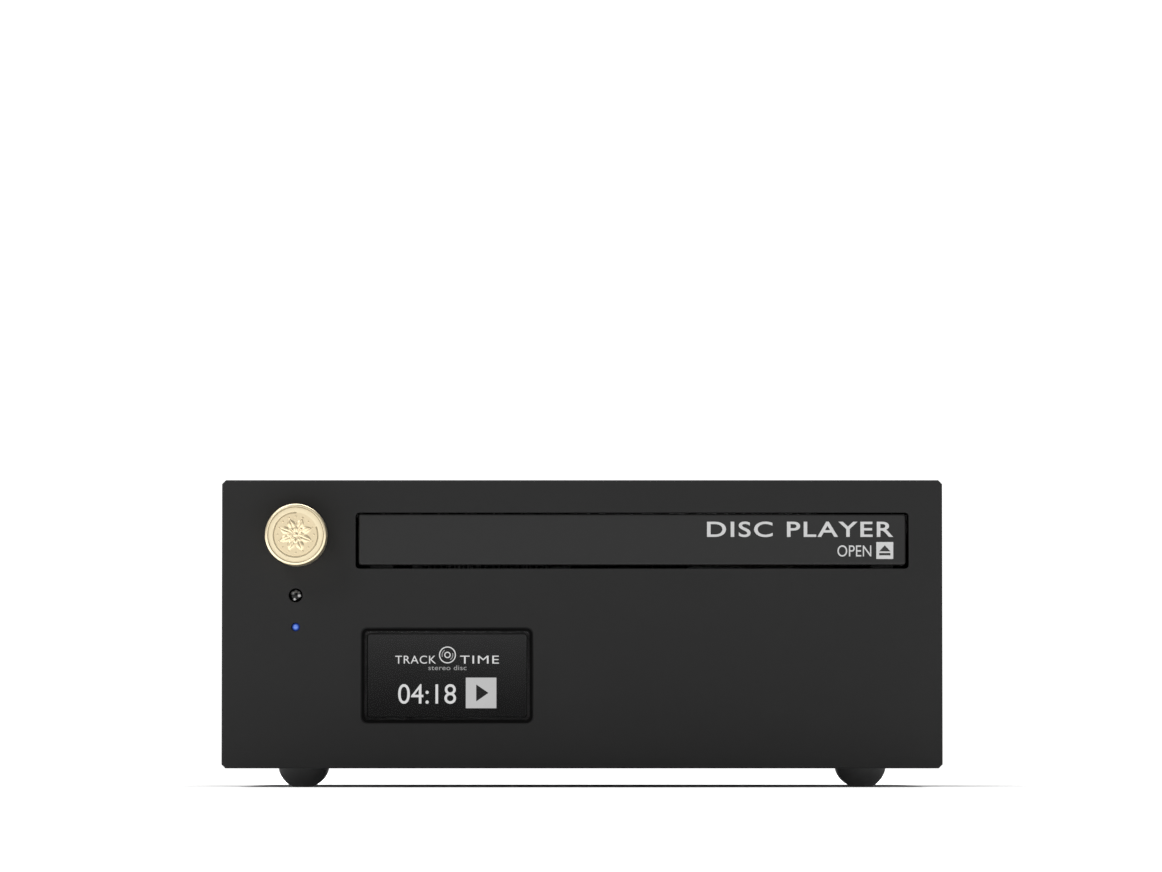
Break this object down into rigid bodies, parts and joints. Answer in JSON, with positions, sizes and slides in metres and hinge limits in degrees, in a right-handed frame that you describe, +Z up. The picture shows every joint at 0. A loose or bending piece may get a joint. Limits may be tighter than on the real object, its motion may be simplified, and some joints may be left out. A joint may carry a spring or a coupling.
{
  "type": "cd player",
  "caption": "Compact tray-loading disc player with a thick matte front panel, a small display, one gold knob, a slim disc tray and rear sockets.",
  "frame": {"origin": "centre of the bounding box's footprint, on the surface the feet stand on", "axes": "+X right as seen from the front, +Y from the front panel to the rear panel, +Z up"},
  "size_m": [0.2, 0.26, 0.0852],
  "materials": {
    "case_black": "fine matte black",
    "panel_black": "matte black anodised, fine bead blast",
    "steel": "zinc plated",
    "screw_black": "black oxide",
    "foot_rubber": "satin",
    "smoked_glass": "gloss",
    "display_dark": "dark display, lit characters",
    "board_green": "glass-fibre board",
    "black_plastic": "satin moulded",
    "eye_black": "gloss",
    "lamp_blue": "clear, lit blue",
    "gold": "pale gold, satin",
    "brass_nut": "machined",
    "grey_plastic": "moulded",
    "white_plastic": "acetal",
    "motor_can": "bright",
    "belt_rubber": "matte",
    "damper_rubber": "soft",
    "magnet": "nickel plated",
    "lens": "coated",
    "iron_core": "varnished laminations",
    "coil_tape": "polyester tape",
    "contact_metal": "nickel plated",
    "gold_plate": "gold plated",
    "insulator": "nylon",
    "ribbon": "grey ribbon"
  },
  "bodies": {
    "case": {"front_panel": "panel_black", "chassis_base": "steel", "top_cover": "case_black", "rear_panel": "case_black", "feet": "foot_rubber", "case_screws": "screw_black", "display_window": "smoked_glass", "display_module": "display_dark", "front_board": "board_green", "spacers": "steel", "ir_receiver": "eye_black", "status_lamp": "lamp_blue", "encoder_body": "steel", "encoder_nut": "brass_nut", "loader_frame": "black_plastic", "clamp_bridge": "steel", "inner_screws": "steel", "loading_motor": "motor_can", "drive_belt": "belt_rubber", "main_board": "board_green", "board_components": "black_plastic", "transformer_core": "iron_core", "transformer_coil": "coil_tape", "ribbon_cable": "ribbon", "power_inlet": "black_plastic", "contact_pins": "contact_metal", "switch_housing": "black_plastic", "phono_shells": "gold_plate", "phono_insulators": "insulator", "balanced_sockets": "contact_metal", "optical_socket": "black_plastic"},
    "tray": {"tray": "black_plastic", "tray_front": "panel_black"},
    "drive_gear": {"drive_gear": "black_plastic"},
    "pulley_gear": {"pulley_gear": "black_plastic"},
    "motor_pulley": {"motor_pulley": "white_plastic"},
    "lift": {"lift_carrier": "black_plastic", "traverse_plate": "steel", "guide_rods": "motor_can", "dampers": "damper_rubber", "spindle_motor": "motor_can", "feed_motor": "motor_can"},
    "lift_cam": {"lift_cam": "white_plastic"},
    "turntable": {"turntable": "black_plastic", "turntable_magnet": "magnet"},
    "clamp": {"clamp_puck": "black_plastic", "clamp_cap": "black_plastic"},
    "pickup": {"pickup_body": "black_plastic", "pickup_rack": "white_plastic"},
    "lens": {"lens_holder": "black_plastic", "objective_lens": "lens"},
    "feed_gear": {"feed_gear": "white_plastic"},
    "feed_pinion": {"feed_pinion": "white_plastic"},
    "plunger": {"press_plunger": "white_plastic"},
    "knob": {"knob": "gold", "knob_medal": "gold", "knob_set_screw": "screw_black", "encoder_shaft": "motor_can"},
    "rocker": {"rocker": "black_plastic"},
    "optical_flap": {"optical_flap": "black_plastic"}
  },
  "joints": [
    {"name": "tray_slide", "type": "slide", "parent": "case", "child": "tray", "axis": [0, -1, 0], "range_m": [0, 0.13]},
    {"name": "drive_gear_spin", "type": "hinge", "parent": "case", "child": "drive_gear", "pos_m": [-0.0331, -0.095, 0.0616], "axis": [0, 0, 1], "continuous": true},
    {"name": "pulley_gear_spin", "type": "hinge", "parent": "case", "child": "pulley_gear", "pos_m": [-0.0155, -0.095, 0.0616], "axis": [0, 0, 1], "continuous": true},
    {"name": "motor_pulley_spin", "type": "hinge", "parent": "case", "child": "motor_pulley", "pos_m": [0.0225, -0.095, 0.0571], "axis": [0, 0, 1], "continuous": true},
    {"name": "traverse_lift", "type": "slide", "parent": "case", "child": "lift", "axis": [0, 0, 1], "range_m": [0, 0.0092]},
    {"name": "lift_cam_slide", "type": "slide", "parent": "case", "child": "lift_cam", "axis": [0, -1, 0], "range_m": [0, 0.0185]},
    {"name": "turntable_spin", "type": "hinge", "parent": "lift", "child": "turntable", "pos_m": [0.0139, -0.05, 0.0597], "axis": [0, 0, 1], "continuous": true},
    {"name": "clamp_spin", "type": "hinge", "parent": "case", "child": "clamp", "pos_m": [0.0139, -0.05, 0.0735], "axis": [0, 0, 1], "continuous": true},
    {"name": "pickup_feed", "type": "slide", "parent": "lift", "child": "pickup", "axis": [0, 1, 0], "range_m": [0, 0.035]},
    {"name": "feed_gear_spin", "type": "hinge", "parent": "lift", "child": "feed_gear", "pos_m": [0.0485, -0.004, 0.049], "axis": [0, 0, 1], "continuous": true},
    {"name": "feed_pinion_spin", "type": "hinge", "parent": "lift", "child": "feed_pinion", "pos_m": [0.0485, 0.006, 0.0472], "axis": [0, 0, 1], "continuous": true},
    {"name": "lens_focus", "type": "slide", "parent": "pickup", "child": "lens", "axis": [0, 0, 1], "range_m": [-0.0005, 0.0005], "stiffness_N_per_m": 30},
    {"name": "knob_press", "type": "slide", "parent": "case", "child": "plunger", "axis": [0, 1, 0], "range_m": [0, 0.0005], "stiffness_N_per_m": 600, "springref_m": -0.002},
    {"name": "knob_turn", "type": "hinge", "parent": "plunger", "child": "knob", "pos_m": [-0.0791, -0.1247, 0.0697], "axis": [0, -1, 0], "continuous": true},
    {"name": "rocker_tilt", "type": "hinge", "parent": "case", "child": "rocker", "pos_m": [-0.07, 0.1185, 0.062], "axis": [1, 0, 0], "range_deg": [0, 20]},
    {"name": "optical_flap_swing", "type": "hinge", "parent": "case", "child": "optical_flap", "pos_m": [-0.024, 0.12165, 0.03675], "axis": [-1, 0, 0], "range_deg": [0, 80], "stiffness_Nm_per_rad": 0.0002, "springref_deg": -22.92}
  ],
  "couplings": [
    {"joint": "drive_gear_spin", "follows": "tray_slide", "rad_per_m": 83.333},
    {"joint": "pulley_gear_spin", "follows": "tray_slide", "rad_per_m": -178.57},
    {"joint": "motor_pulley_spin", "follows": "tray_slide", "rad_per_m": -745.07},
    {"joint": "lift_cam_slide", "follows": "traverse_lift", "ratio": 2},
    {"joint": "clamp_spin", "follows": "turntable_spin", "ratio": 1},
    {"joint": "feed_gear_spin", "follows": "pickup_feed", "rad_per_m": -250},
    {"joint": "feed_pinion_spin", "follows": "pickup_feed", "rad_per_m": 583.33}
  ]
}
